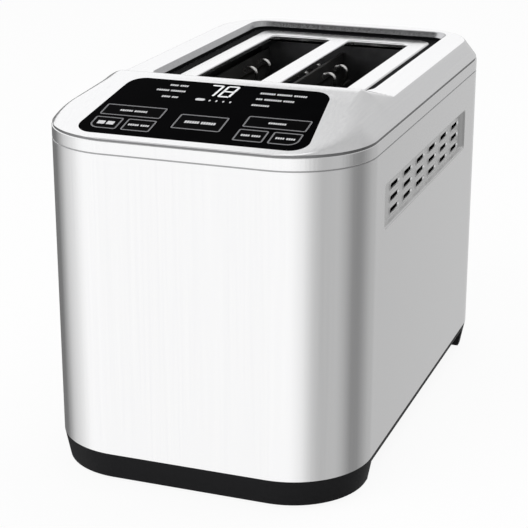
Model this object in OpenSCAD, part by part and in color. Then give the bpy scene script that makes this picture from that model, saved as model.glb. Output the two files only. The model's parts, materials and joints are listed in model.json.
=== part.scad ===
// Two-slice toaster with a motor lift, as an assembly of separate named pieces
// Millimetres, +Z up, control end towards -Y, origin at the bottom centre

/* [Body] */
// Width of the steel body
body_w = 184; // [180:1:190]
// Length of the body, control end to rear
body_l = 311; // [307:1:321]
// Plan radius of the four body corners
corner_r = 46; // [42:1:48]
// Height where the black base ends and the steel wrap starts
base_top = 17.5; // [16:0.5:19]
// How far the base leans in towards the table
base_taper = 3; // [2:0.5:5]
// Height of the rubber feet under the base
foot_h = 2; // [1.5:0.25:2.5]
// Height of the seam below the trim band
seam_z = 190.5; // [189:0.5:195]
// Height of the trim band between its two seams
band_h = 8.3; // [7.8:0.1:10]
// Sheet thickness of the steel wrap
wrap_t = 1; // [0.8:0.1:1.4]

/* [Top cover] */
// Rise from the trim band to the flat rim
rim_rise = 10.6; // [10:0.1:11.2]
// Inward lean of the cover's sides over that rise
rim_inset = 8.2; // [7:0.2:9]
// Wall thickness of the cover
cover_t = 3; // [2.6:0.1:3.2]
// Tilt of the control console
console_tilt = 13.4; // [12.6:0.2:14]
// Plan distance from the front edge to the console's ridge
console_run = 78; // [77:0.5:80]
// Width of the rim strip in front of the slot well
rim_front = 5.5; // [4:0.5:6]

/* [Slots] */
// Width of one bread slot
slot_w = 40.3; // [38:0.1:41]
// Distance from the control end to the bread slots
slot_start = 125; // [124:0.5:127]
// Distance from the bread slots to the rear end
slot_end = 41; // [40.5:0.5:44]
// Distance between the centre lines of the two slots
slot_pitch = 52.9; // [52.5:0.1:54]
// Depth of the slot plate below the rim
plate_drop = 4.5; // [4:0.1:5]

/* [Controls] */
// Width of the black control glass at its front edge
panel_front_w = 131.4; // [129:0.2:133]
// Width of the black control glass at its rear edge
panel_rear_w = 116.4; // [114:0.2:120]
// Length of the control glass along the slope
panel_l = 67.8; // [66:0.2:68.4]
// Corner radius of the control glass
panel_r = 10; // [8:0.5:12]
// Thickness of the control glass
glass_t = 1.6; // [1.4:0.1:1.8]
// Gap around each key
key_gap = 0.35; // [0.3:0.05:0.45]

/* [Vents] */
// Length of the recessed vent panel on each side
vent_l = 183; // [178:1:184]
// Height of the recessed vent panel
vent_h = 26; // [25:0.5:30]
// Depth of the vent recess
vent_depth = 2; // [1.5:0.5:4]
// Slots in each row of the vent
vent_columns = 6; // [4:1:6]
// Rows of slots in the vent
vent_rows = 3; // [2:1:3]

/* [Lift] */
// Travel of the bread carriage
lift_travel = 75; // [65:1:75]
// Depth of the raised bread rest below the slot plate
rest_drop = 68; // [66:1:72]
// Upright wires in each bread guide
guide_wires = 6; // [4:1:7]
// Turns of heater ribbon on each face of a heater board
ribbon_turns = 10; // [6:1:11]

/* [Hidden] */
$fn = 64;
half_w = body_w / 2;
half_l = body_l / 2;
front_y = -half_l;
foot_x = half_w - 26;
foot_y = half_l - 30;

// Levels, from the table up
floor_t = 2.5;
floor_z = foot_h + floor_t;
band_top = seam_z + band_h;
rim_z = band_top + rim_rise;
plate_z = rim_z - plate_drop;
sheet_t = 1;
plate_flange = 2;
gasket_t = 2.5;
gasket_top = plate_z - sheet_t - plate_flange;
chassis_top = gasket_top - gasket_t;

// Slot well, from the slots outward
slot_front = front_y + slot_start;
slot_rear = half_l - slot_end;
slot_l = slot_rear - slot_front;
slot_y = (slot_front + slot_rear) / 2;
plate_w = slot_pitch + slot_w + 23.8;
plate_front = slot_front - 8;
plate_rear = slot_rear + 15.4;
plate_l = plate_rear - plate_front;
plate_y = (plate_front + plate_rear) / 2;
plate_r = 8;
well_margin = 9.5;
well_w = plate_w + 2 * well_margin;
well_front = plate_front - 7.5;
well_rear = plate_rear + well_margin;
well_l = well_rear - well_front;
well_y = (well_front + well_rear) / 2;
well_r = 12;
well_bevel = 3.5;
well_depth = rim_z - gasket_top;
bead_h = plate_z - gasket_top - 0.5;
bead_gap = 0.3;

// Console roof
lean_rate = rim_inset / rim_rise;
lip_h = 0.4;
ridge_flat = 4;
ridge_y = front_y + console_run;
ridge_z = band_top + lip_h + console_run * tan(console_tilt);
crease_y = well_front - rim_front;

// Control panel, on the console slope
panel_v = 6.2;
ledge_w = 1.8;
post_places = [[65, 17], [60, 65]];
board_depth = 6.4;
board_t = 1.6;
key_flange = 0.6;
key_flange_t = 0.7;
key_rest_gap = 0.3;
stem_end = 4.4;
switch_h = 0.9;
key_in = 23;
key_out = 59;
key_split = 41.2;
key_row_v = [11.5, 25, 27, 40];
centre_key_w = 28.4;
centre_key_v = [18.5, 35.6];
display_w = 28;
display_v = [54, 69.5];

// Vents
vent_y = -3;
vent_z = rim_z - 51;
vent_pitch = 27.4;
vent_row_pitch = 7;
vent_shift_y = 6;
vent_shift_z = -1.2;
vent_slot_l = 18;
vent_slot_h = 3.4;
vent_wall = 1;
vent_lip = 3;

// Toasting chamber
chamber_front = slot_front - 6;
chamber_rear = slot_rear + 6;
chamber_l = chamber_rear - chamber_front;
chamber_y = (chamber_front + chamber_rear) / 2;
end_plate_w = 124;
shield_x = plate_w / 2 - 0.5;
shield_t = 0.8;
board_x = slot_pitch / 2 + slot_w / 2 + 5.5;
heater_board_t = 1.2;
centre_board_t = 2;
heater_bottom = 40;
heater_top = plate_z - 10;

// Bread guides
guide_in = slot_pitch / 2 - slot_w / 2 + 2.2;
guide_out = slot_pitch / 2 + slot_w / 2 - 2.1;
guide_places = [-guide_out, -guide_in, guide_in, guide_out];
guide_wire_r = 1;
pivot_r = 1.5;
pivot_z = 50;
guide_top = plate_z - 12;
hook_l = 4;
running_gap = 0.05;

// Lift drive in the front compartment
plate_face = chamber_front - sheet_t;
bracket_y = plate_face - 4;
bracket_t = 3;
bracket_w = 88;
rest_z = plate_z - rest_drop;
bracket_low = rest_z - 25;
bracket_high = rest_z - 1;
rod_r = 2.5;
rod_x = 38;
rod_y = bracket_y - 9.5;
rod_low = 22;
rod_high = chassis_top - 3;
rod_plate_t = 2;
gear_teeth = 20;
gear_module = 1;
pitch_r = gear_teeth * gear_module / 2;
tooth_pitch = PI * gear_module;
pinion_z = rod_low + lift_travel + 12;
rack_low = pinion_z - 8;
rack_high = pinion_z + lift_travel + 8;
gear_face = 6;
gear_y = bracket_y - bracket_t - 3.5;
shaft_r = 2;
bridge_y = gear_y - gear_face - 4;
bridge_t = 2;
bridge_w = 104;

// Power supply behind the control end
power_y = front_y + 34;
supply_w = 120;
supply_t = 1.6;
supply_low = 25;
supply_h = 63;
transformer_size = [34, 23.2, 32];
transformer_at = [-48, 9];
relay_size = [28, 13.2, 18];
relay_at = [10, 13];

// Crumb tray and rear end
tray_w = 111;
tray_gap = 0.3;
tray_t = 0.8;
tray_h = 7;
tray_front = chamber_front + 2.5;
rear_margin = 6;
rear_panel_w = 2 * (half_w - corner_r - rear_margin);
rear_panel_h = 70;
rear_panel_z = 65;
gland_margin = 16;
gland_x = rear_panel_w / 2 - gland_margin;
gland_z = 45;
gland_r = 7;
lead_r = 3.5;

steel = "#c8cacc";
bright = "#dcdddf";
black = "#1c1c1e";
dark = "#2b2b2e";
mica = "#cbbf9f";
board_green = "#1f5a36";

// Plane shapes

// Rectangle with round corners, centred
module soft_rect(w, l, r) {
    square([w - 2 * r, l], center = true);
    square([w, l - 2 * r], center = true);
    for (x = [-1, 1], y = [-1, 1])
        translate([x * (w / 2 - r), y * (l / 2 - r)])
            circle(r = r);
}

// Key outline with one larger corner at the lower outer end; side is -1, 0 or 1
module key_outline(w, l, grow, side) {
    small = 1.5 + grow;
    large = 6 + grow;
    a = w / 2 + grow;
    b = l / 2 + grow;
    left = side < 0 ? large : small;
    right = side > 0 ? large : small;
    polygon([
        [left - a, -b], [a - right, -b], [a, right - b], [a, b - small],
        [a - small, b], [small - a, b], [-a, b - small], [-a, left - b]
    ]);
    translate([left - a, left - b])
        circle(r = left);
    translate([a - right, right - b])
        circle(r = right);
    for (x = [-1, 1])
        translate([x * (a - small), b - small])
            circle(r = small);
}

// Four-sided panel, narrower at the rear, with round corners; v runs from the front edge
module panel_outline(front_w, rear_w, l, r, grow) {
    radius = r + grow;
    span = l + 2 * grow;
    a = front_w / 2 + grow;
    lean = atan((front_w - rear_w) / 2 / l);
    front_u = a - radius * tan(lean) - radius / cos(lean);
    rear_u = a - (span - radius) * tan(lean) - radius / cos(lean);
    du = radius * cos(lean);
    dv = radius * sin(lean);
    translate([0, -grow]) {
        polygon([
            [-front_u, 0], [front_u, 0], [front_u + du, radius + dv], [rear_u + du, span - radius + dv],
            [rear_u, span], [-rear_u, span], [-rear_u - du, span - radius + dv], [-front_u - du, radius + dv]
        ]);
        for (side = [-1, 1]) {
            translate([side * front_u, radius])
                circle(r = radius);
            translate([side * rear_u, span - radius])
                circle(r = radius);
        }
    }
}

// Slot with round ends along the first axis
module round_slot(l, h) {
    square([l - h, h], center = true);
    for (side = [-1, 1])
        translate([side * (l - h) / 2, 0])
            circle(d = h);
}

// Solid helpers

// Slab with the body's plan, moved in by inset
module body_slab(inset, low, high) {
    translate([0, 0, low])
        linear_extrude(high - low)
            soft_rect(body_w - 2 * inset, body_l - 2 * inset, corner_r - inset);
}

// Round-cornered slab whose sides lean in by inset over its height
module leaning_slab(w, l, r, h, inset) {
    for (x = [-1, 1], y = [-1, 1])
        translate([x * (w / 2 - r), y * (l / 2 - r), 0])
            cylinder(h = h, r1 = r, r2 = r - inset);
    rotate([90, 0, 0])
        linear_extrude(l - 2 * r, center = true)
            polygon([[-w / 2, 0], [w / 2, 0], [w / 2 - inset, h], [inset - w / 2, h]]);
    rotate([90, 0, 90])
        linear_extrude(w - 2 * r, center = true)
            polygon([[-l / 2, 0], [l / 2, 0], [l / 2 - inset, h], [inset - l / 2, h]]);
}

// Box given by its low corner and high corner
module span_box(low, high) {
    translate(low)
        cube(high - low);
}

// Frame on the console slope: u across, v up the slope, w out of it
module on_slope() {
    translate([0, front_y, band_top + lip_h])
        rotate([console_tilt, 0, 0])
            children();
}

// Frame on a side wall: u along the body, v up, extrusion outward from x
module on_side(side, x) {
    translate([side * x, vent_y, vent_z])
        rotate([90, 0, side * 90])
            children();
}

// Frame on the rear wall, extrusion towards the front from y
module on_rear(x, y, z) {
    translate([x, y, z])
        rotate([90, 0, 0])
            children();
}

// Sub-parts of the case

module base_pan() {
    undercut_x = half_w - 10;
    color(black) {
        difference() {
            translate([0, 0, base_top])
                mirror([0, 0, 1])
                    leaning_slab(body_w, body_l, corner_r, base_top - foot_h, base_taper);
            translate([0, 0, floor_z])
                linear_extrude(base_top)
                    soft_rect(body_w - 28, body_l - 18, 34);
            for (side = [-1, 1])
                translate([side * (undercut_x + 10), 1, foot_h + (base_top - foot_h - 4) / 2])
                    cube([20, body_l - 2 * corner_r - 6, base_top - foot_h - 4 + 0.02], center = true);
            span_box([-tray_w / 2 - 1, half_l - 20, floor_z], [tray_w / 2 + 1, half_l + 5, floor_z + tray_h + 2]);
        }
        for (side = [-1, 1]) {
            translate([side * (tray_w / 2 + 1.8), chamber_y, floor_z + 2.5])
                cube([2, chamber_l - 20, 5], center = true);
            span_box([side * 44 - 4, power_y - 4, foot_h + 1], [side * 44 + 4, power_y + 4, supply_low]);
        }
    }
}

module foot(x, y) {
    color(dark)
        translate([x, y, 0])
            cylinder(h = foot_h, r1 = 8, r2 = 9);
}

module foot_front_left() {
    foot(-foot_x, -foot_y);
}

module foot_front_right() {
    foot(foot_x, -foot_y);
}

module foot_rear_left() {
    foot(-foot_x, foot_y);
}

module foot_rear_right() {
    foot(foot_x, foot_y);
}

module steel_wrap() {
    color(steel)
        difference() {
            body_slab(0, base_top, seam_z);
            body_slab(wrap_t, base_top - 1, seam_z + 1);
            for (side = [-1, 1])
                on_side(side, half_w - 4)
                    linear_extrude(8)
                        soft_rect(vent_l, vent_h, 3);
            on_rear(0, half_l + 3, rear_panel_z)
                linear_extrude(8)
                    soft_rect(rear_panel_w, rear_panel_h, 5);
        }
}

module vent_panel(side) {
    inner = half_w - wrap_t;
    color(steel) {
        on_side(side, inner - sheet_t)
            linear_extrude(sheet_t)
                difference() {
                    soft_rect(vent_l + 2 * vent_lip, vent_h + 2 * vent_lip, 3 + vent_lip);
                    soft_rect(vent_l, vent_h, 3);
                }
        on_side(side, inner - vent_depth)
            linear_extrude(vent_depth)
                difference() {
                    soft_rect(vent_l + 2 * vent_wall, vent_h + 2 * vent_wall, 3 + vent_wall);
                    soft_rect(vent_l, vent_h, 3);
                }
        on_side(side, inner - vent_depth - sheet_t)
            linear_extrude(sheet_t)
                difference() {
                    soft_rect(vent_l + 2 * vent_wall, vent_h + 2 * vent_wall, 3 + vent_wall);
                    for (i = [0 : vent_columns - 1], j = [0 : vent_rows - 1])
                        translate([
                            (i - (vent_columns - 1) / 2) * vent_pitch + side * vent_shift_y,
                            (j - (vent_rows - 1) / 2) * vent_row_pitch + vent_shift_z
                        ])
                            round_slot(vent_slot_l, vent_slot_h);
                }
    }
}

module vent_panel_left() {
    vent_panel(-1);
}

module vent_panel_right() {
    vent_panel(1);
}

module rear_panel() {
    color(dark)
        difference() {
            union() {
                on_rear(0, half_l, rear_panel_z)
                    linear_extrude(wrap_t)
                        soft_rect(rear_panel_w - 0.3, rear_panel_h - 0.3, 4.85);
                on_rear(0, half_l - wrap_t, rear_panel_z)
                    linear_extrude(2)
                        soft_rect(rear_panel_w + 6, rear_panel_h + 6, 8);
            }
            on_rear(gland_x, half_l + 1, gland_z)
                cylinder(h = 6, r = gland_r + running_gap);
        }
}

module cord_gland() {
    color(black)
        difference() {
            union() {
                on_rear(gland_x, half_l - 0.2, gland_z)
                    cylinder(h = wrap_t + 1.8, r = gland_r);
                on_rear(gland_x, half_l - wrap_t - 2, gland_z)
                    cylinder(h = 3, r = gland_r + 3);
            }
            on_rear(gland_x, half_l + 1, gland_z)
                cylinder(h = 10, r = lead_r);
        }
}

module terminal_block() {
    color("#e8e4d8")
        span_box([-30, half_l - wrap_t - 16, gland_z - 9], [-6, half_l - wrap_t - 2, gland_z + 9]);
}

module upper_band() {
    groove_h = 0.5;
    groove_d = 0.8;
    color(steel)
        difference() {
            body_slab(0, seam_z, band_top);
            body_slab(cover_t, seam_z - 1, band_top + 1);
            for (low = [seam_z, band_top - groove_h])
                difference() {
                    body_slab(-1, low, low + groove_h);
                    body_slab(groove_d, low - 1, low + groove_h + 1);
                }
        }
}

// Space under the console roof, lowered by drop
module roof_space(drop) {
    low = band_top - 20;
    lead = 5;
    translate([0, 0, -drop])
        rotate([90, 0, 90])
            linear_extrude(body_w + 4, center = true)
                polygon([
                    [front_y - lead, low],
                    [front_y - lead, band_top + lip_h - lead * tan(console_tilt)],
                    [ridge_y, ridge_z],
                    [ridge_y + ridge_flat, ridge_z],
                    [crease_y, rim_z],
                    [half_l + lead, rim_z],
                    [half_l + lead, low]
                ]);
}

// Leaning sides of the cover, moved in by inset and started below the band's top
module cover_sides(inset, below) {
    grow = lean_rate * below - inset;
    h = below + ridge_z - band_top + 2;
    translate([0, 0, band_top - below])
        leaning_slab(body_w + 2 * grow, body_l + 2 * grow, corner_r + grow, h, h * lean_rate);
}

// Opening of the slot well, wider at the rim
module well_space(grow) {
    translate([0, well_y, rim_z])
        mirror([0, 0, 1])
            leaning_slab(well_w + 2 * grow, well_l + 2 * grow, well_r + grow, well_depth, well_bevel);
}

module top_cover() {
    color(steel)
        difference() {
            union() {
                difference() {
                    intersection() {
                        cover_sides(0, 0);
                        roof_space(0);
                    }
                    intersection() {
                        cover_sides(cover_t, 1);
                        roof_space(cover_t);
                    }
                }
                well_space(2);
                on_slope()
                    for (side = [-1, 1], post = post_places)
                        translate([side * post[0], post[1], -board_depth])
                            cylinder(h = board_depth - cover_t + 0.6, r = 2.5);
            }
            well_space(0);
            translate([0, well_y, rim_z - 0.01])
                linear_extrude(2)
                    soft_rect(well_w, well_l, well_r);
            translate([0, well_y, gasket_top - 5])
                linear_extrude(5.01)
                    soft_rect(well_w - 2 * well_bevel, well_l - 2 * well_bevel, well_r - well_bevel);
            on_slope()
                translate([0, panel_v, -glass_t])
                    linear_extrude(glass_t + 4)
                        panel_outline(panel_front_w, panel_rear_w, panel_l, panel_r, 0.15);
            on_slope()
                translate([0, panel_v, -cover_t - 4])
                    linear_extrude(cover_t + 4)
                        panel_outline(panel_front_w, panel_rear_w, panel_l, panel_r, -ledge_w);
        }
}

// Flat seat under the plate, with a raised bead that fills the gap between plate and well
module well_gasket() {
    well_floor_w = well_w - 2 * well_bevel;
    well_floor_l = well_l - 2 * well_bevel;
    color(black)
        union() {
            translate([0, 0, chassis_top])
                linear_extrude(gasket_t)
                    difference() {
                        translate([0, well_y])
                            soft_rect(well_floor_w + 4, well_floor_l + 4, well_r);
                        translate([0, plate_y])
                            soft_rect(plate_w - 9, plate_l - 9, 4);
                    }
            translate([0, 0, gasket_top - 0.5])
                linear_extrude(bead_h + 0.5)
                    difference() {
                        translate([0, well_y])
                            soft_rect(
                                well_floor_w - 2 * bead_gap,
                                well_floor_l - 2 * bead_gap,
                                well_r - well_bevel - bead_gap
                            );
                        translate([0, plate_y])
                            soft_rect(plate_w + 2 * bead_gap, plate_l + 2 * bead_gap, plate_r + bead_gap);
                    }
        }
}

module slot_plate() {
    color(bright) {
        difference() {
            union() {
                translate([0, plate_y, plate_z - sheet_t])
                    linear_extrude(sheet_t)
                        soft_rect(plate_w, plate_l, plate_r);
                translate([0, plate_y, gasket_top])
                    linear_extrude(plate_flange + 0.5)
                        difference() {
                            soft_rect(plate_w, plate_l, plate_r);
                            soft_rect(plate_w - 2, plate_l - 2, plate_r - 1);
                        }
                for (side = [-1, 1])
                    translate([side * slot_pitch / 2, slot_y, plate_z - 5])
                        linear_extrude(4.5)
                            soft_rect(slot_w + 1.6, slot_l + 1.6, 4.8);
            }
            for (side = [-1, 1])
                translate([side * slot_pitch / 2, slot_y, plate_z - 8])
                    linear_extrude(10)
                        soft_rect(slot_w, slot_l, 4);
        }
    }
}

// Sub-parts of the control console

// Middle, size and corner side of each key on the slope: [u, v, width, length, side]
function row_mid(row) = (key_row_v[2 * row] + key_row_v[2 * row + 1]) / 2;
function row_len(row) = key_row_v[2 * row + 1] - key_row_v[2 * row];
function top_key(side) = [side * (key_in + key_out) / 2, row_mid(1), key_out - key_in, row_len(1), 0];
function inner_key(side) =
    [side * (key_in + key_split - 1) / 2, row_mid(0), key_split - 1 - key_in, row_len(0), 0];
function outer_key(side) =
    [side * (key_out + key_split + 1) / 2, row_mid(0), key_out - key_split - 1, row_len(0), side];
centre_key =
    [0, (centre_key_v[0] + centre_key_v[1]) / 2, centre_key_w, centre_key_v[1] - centre_key_v[0], 0];
keys = [
    top_key(-1), outer_key(-1), inner_key(-1), centre_key,
    top_key(1), inner_key(1), outer_key(1)
];

module control_glass() {
    color("#050506")
        on_slope()
            translate([0, 0, -glass_t])
                linear_extrude(glass_t)
                    difference() {
                        translate([0, panel_v])
                            panel_outline(panel_front_w, panel_rear_w, panel_l, panel_r, 0);
                        for (key = keys)
                            translate([key[0], key[1]])
                                key_outline(key[2], key[3], key_gap, key[4]);
                    }
}

module display_module() {
    color("#303236")
        on_slope()
            span_box(
                [-display_w / 2, display_v[0], -board_depth],
                [display_w / 2, display_v[1], -glass_t]
            );
}

module control_board() {
    color(board_green)
        on_slope()
            translate([0, panel_v + 4, -board_depth - board_t])
                linear_extrude(board_t)
                    panel_outline(panel_front_w + 3, panel_rear_w + 7, panel_l - 6, 4, 0);
}

module key_switches() {
    color("#8a8d92")
        on_slope()
            for (key = keys)
                translate([key[0], key[1], -board_depth + switch_h / 2])
                    cube([6, 6, switch_h], center = true);
}

module key_cap(key) {
    flange_top = glass_t + key_rest_gap;
    color("#0b0b0d")
        on_slope()
            translate([key[0], key[1], 0]) {
                translate([0, 0, -flange_top - key_flange_t])
                    linear_extrude(flange_top + key_flange_t)
                        key_outline(key[2], key[3], 0, key[4]);
                translate([0, 0, -flange_top - key_flange_t])
                    linear_extrude(key_flange_t)
                        key_outline(key[2], key[3], key_flange, key[4]);
                translate([0, 0, -stem_end])
                    cylinder(h = stem_end - flange_top, r = 2);
            }
}

module key_left_top() {
    key_cap(top_key(-1));
}

module key_left_outer() {
    key_cap(outer_key(-1));
}

module key_left_inner() {
    key_cap(inner_key(-1));
}

module key_centre() {
    key_cap(centre_key);
}

module key_right_top() {
    key_cap(top_key(1));
}

module key_right_inner() {
    key_cap(inner_key(1));
}

module key_right_outer() {
    key_cap(outer_key(1));
}

// Sub-parts of the toasting chamber

module end_plate(y) {
    difference() {
        span_box([-end_plate_w / 2, y, floor_z], [end_plate_w / 2, y + sheet_t, chassis_top]);
        for (x = guide_places)
            translate([x, y + 3, pivot_z])
                rotate([90, 0, 0])
                    cylinder(h = 6, r = pivot_r + running_gap);
        children();
    }
}

module front_plate() {
    color(bright)
        end_plate(chamber_front - sheet_t)
            for (side = [-1, 1])
                span_box(
                    [side * slot_pitch / 2 - 3, chamber_front - 4, rest_z - lift_travel - 16],
                    [side * slot_pitch / 2 + 3, chamber_front + 3, rest_z + 4]
                );
}

module rear_plate() {
    color(bright)
        end_plate(chamber_rear)
            span_box(
                [-tray_w / 2 - 2, chamber_rear - 2, floor_z - 1],
                [tray_w / 2 + 2, chamber_rear + 4, floor_z + tray_h + 4]
            );
}

module shield(side) {
    color(bright)
        translate([side * (shield_x + shield_t / 2), chamber_y, (20 + chassis_top) / 2])
            cube([shield_t, chamber_l, chassis_top - 20], center = true);
}

module shield_left() {
    shield(-1);
}

module shield_right() {
    shield(1);
}

module heater_board(x, t) {
    color(mica)
        span_box([x - t / 2, chamber_front, heater_bottom], [x + t / 2, chamber_rear, heater_top]);
}

// Ribbon turns on one face of a heater board; side is the face's direction
module heater_ribbon(x, t, side) {
    ribbon_t = 0.4;
    ribbon_h = 1.6;
    pitch = (heater_top - heater_bottom - 20) / (ribbon_turns - 1);
    color("#8d8782")
        for (i = [0 : ribbon_turns - 1])
            translate([x + side * (t + ribbon_t) / 2, chamber_y, heater_bottom + 10 + i * pitch])
                cube([ribbon_t, chamber_l - 16, ribbon_h], center = true);
}

module heater_board_left() {
    heater_board(-board_x, heater_board_t);
}

module heater_board_centre() {
    heater_board(0, centre_board_t);
}

module heater_board_right() {
    heater_board(board_x, heater_board_t);
}

module heater_ribbon_left() {
    heater_ribbon(-board_x, heater_board_t, 1);
}

module heater_ribbon_centre() {
    heater_ribbon(0, centre_board_t, -1);
    heater_ribbon(0, centre_board_t, 1);
}

module heater_ribbon_right() {
    heater_ribbon(board_x, heater_board_t, -1);
}

// Bread guide of upright wires on a pivot bar; hook is the direction of its bent tops
module bread_guide(x, hook) {
    wire_pitch = (slot_l - 20) / (guide_wires - 1);
    color(bright)
        translate([x, 0, 0]) {
            translate([0, chamber_rear + 4, pivot_z])
                rotate([90, 0, 0])
                    cylinder(h = chamber_l + 8, r = pivot_r);
            translate([0, slot_rear - 6, guide_top - 14])
                rotate([90, 0, 0])
                    cylinder(h = slot_l - 12, r = guide_wire_r);
            for (i = [0 : guide_wires - 1])
                translate([0, slot_front + 10 + i * wire_pitch, 0]) {
                    translate([0, 0, pivot_z])
                        cylinder(h = guide_top - pivot_z, r = guide_wire_r);
                    translate([0, 0, guide_top])
                        sphere(r = guide_wire_r);
                    translate([0, 0, guide_top])
                        rotate([0, hook * 90, 0])
                            cylinder(h = hook_l, r = guide_wire_r);
                }
        }
}

module guide_left_outer() {
    bread_guide(-guide_out, -1);
}

module guide_left_inner() {
    bread_guide(-guide_in, 1);
}

module guide_right_inner() {
    bread_guide(guide_in, -1);
}

module guide_right_outer() {
    bread_guide(guide_out, 1);
}

// Sub-parts of the motor lift

module guide_rod(side) {
    color("#b9bcc0")
        translate([side * rod_x, rod_y, rod_low])
            cylinder(h = rod_high - rod_low, r = rod_r);
}

module guide_rod_left() {
    guide_rod(-1);
}

module guide_rod_right() {
    guide_rod(1);
}

module rod_bracket(low) {
    color(steel)
        span_box(
            [-rod_x - 7, rod_y - 6, low],
            [rod_x + 7, plate_face, low + rod_plate_t]
        );
}

module rod_bracket_lower() {
    rod_bracket(rod_low - rod_plate_t);
}

module rod_bracket_upper() {
    rod_bracket(rod_high);
}

module carriage_bracket() {
    color("#a8abb0")
        difference() {
            union() {
                span_box(
                    [-bracket_w / 2, bracket_y - bracket_t, bracket_low],
                    [bracket_w / 2, bracket_y, bracket_high]
                );
                for (side = [-1, 1]) {
                    translate([side * rod_x, rod_y, bracket_low])
                        cylinder(h = bracket_high - bracket_low, r = 5);
                    span_box(
                        [side * rod_x - 2.5, rod_y, bracket_low],
                        [side * rod_x + 2.5, bracket_y - 1, bracket_high]
                    );
                }
            }
            for (side = [-1, 1])
                translate([side * rod_x, rod_y, bracket_low - 1])
                    cylinder(h = bracket_high - bracket_low + 2, r = rod_r + running_gap);
        }
}

module bread_rack(side) {
    fingers = 6;
    finger_pitch = (slot_l - 24) / (fingers - 1);
    color(bright)
        translate([side * slot_pitch / 2, 0, 0]) {
            span_box([-0.75, bracket_y, rest_z - 10], [0.75, slot_rear + 2, rest_z - 2]);
            for (i = [0 : fingers - 1])
                translate([0, slot_front + 12 + i * finger_pitch, rest_z - 1])
                    cube([26, 3, 2], center = true);
        }
}

module bread_rack_left() {
    bread_rack(-1);
}

module bread_rack_right() {
    bread_rack(1);
}

module gear_rack() {
    root_x = pitch_r + 1.3;
    tip_x = pitch_r - 0.9;
    back_x = pitch_r + 8;
    teeth = floor((rack_high - pinion_z) / tooth_pitch);
    color("#d9d6cc") {
        translate([0, gear_y, 0])
            rotate([90, 0, 0])
                linear_extrude(gear_face) {
                    translate([root_x, rack_low])
                        square([back_x - root_x, rack_high - rack_low]);
                    for (i = [-2 : teeth - 1])
                        translate([0, pinion_z + i * tooth_pitch])
                            polygon([[root_x, -1.15], [root_x, 1.15], [tip_x, 0.37], [tip_x, -0.37]]);
                }
        span_box(
            [root_x + 2, gear_y, bracket_low],
            [back_x, bracket_y - bracket_t, bracket_high]
        );
    }
}

module drive_pinion() {
    root_r = pitch_r - 1.3;
    tip_r = pitch_r + 0.9;
    color("#d9d6cc")
        translate([0, gear_y, pinion_z])
            rotate([90, 0, 0]) {
                linear_extrude(gear_face) {
                    circle(r = root_r);
                    for (i = [0 : gear_teeth - 1])
                        rotate((i + 0.5) * 360 / gear_teeth)
                            polygon([[root_r - 0.3, -1.2], [tip_r, -0.35], [tip_r, 0.35], [root_r - 0.3, 1.2]]);
                }
                cylinder(h = gear_face + 16, r = shaft_r);
            }
}

module motor_bridge() {
    reach = 14;
    leg_t = 3;
    color(steel)
        difference() {
            union() {
                span_box(
                    [-bridge_w / 2, bridge_y - bridge_t, pinion_z - reach],
                    [bridge_w / 2, bridge_y, pinion_z + reach]
                );
                for (side = [-1, 1])
                    span_box(
                        [side * (bridge_w / 2 - leg_t / 2) - leg_t / 2, bridge_y - bridge_t, pinion_z - reach],
                        [side * (bridge_w / 2 - leg_t / 2) + leg_t / 2, plate_face, pinion_z + reach]
                    );
            }
            translate([0, bridge_y + 1, pinion_z])
                rotate([90, 0, 0])
                    cylinder(h = 4, r = shaft_r + 1);
        }
}

module lift_motor() {
    gearbox_l = 16;
    face_y = bridge_y - bridge_t;
    color("#7d8086")
        difference() {
            union() {
                span_box(
                    [-16, face_y - gearbox_l, pinion_z - 13],
                    [16, face_y, pinion_z + 13]
                );
                translate([0, face_y - gearbox_l, pinion_z])
                    rotate([90, 0, 0])
                        cylinder(h = 28, r = 12);
            }
            translate([0, face_y + 1, pinion_z])
                rotate([90, 0, 0])
                    cylinder(h = 14, r = shaft_r + running_gap);
        }
}

module limit_switch(low) {
    color(black)
        span_box([-bridge_w / 2 - 4, plate_face - 6, low], [-bridge_w / 2 + 4, plate_face, low + 14]);
}

module limit_switch_upper() {
    limit_switch(pinion_z + 30);
}

module limit_switch_lower() {
    limit_switch(pinion_z - 60);
}

// Sub-parts of the power supply and the tray

// Frame on the rear face of the power board, place given as [x, height above the board's lower edge]
module on_supply(place) {
    translate([place[0], power_y + supply_t / 2, supply_low + place[1]])
        children();
}

module power_board() {
    color(board_green)
        span_box(
            [-supply_w / 2, power_y - supply_t / 2, supply_low],
            [supply_w / 2, power_y + supply_t / 2, supply_low + supply_h]
        );
}

module power_transformer() {
    color("#c9b458")
        on_supply(transformer_at)
            cube(transformer_size);
}

module power_relay() {
    color("#2f5d9b")
        on_supply(relay_at)
            cube(relay_size);
}

module crumb_tray() {
    low = floor_z + tray_gap;
    rear = half_l - base_taper - 0.5;
    color(bright) {
        difference() {
            span_box([-tray_w / 2, tray_front, low], [tray_w / 2, rear - 2, low + tray_h]);
            span_box(
                [-tray_w / 2 + tray_t, tray_front + tray_t, low + tray_t],
                [tray_w / 2 - tray_t, rear - 2 - tray_t, low + tray_h + 1]
            );
        }
        span_box([-tray_w / 2, rear - 2.5, low], [tray_w / 2, rear, low + tray_h + 1]);
    }
}

// What is drawn

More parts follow.
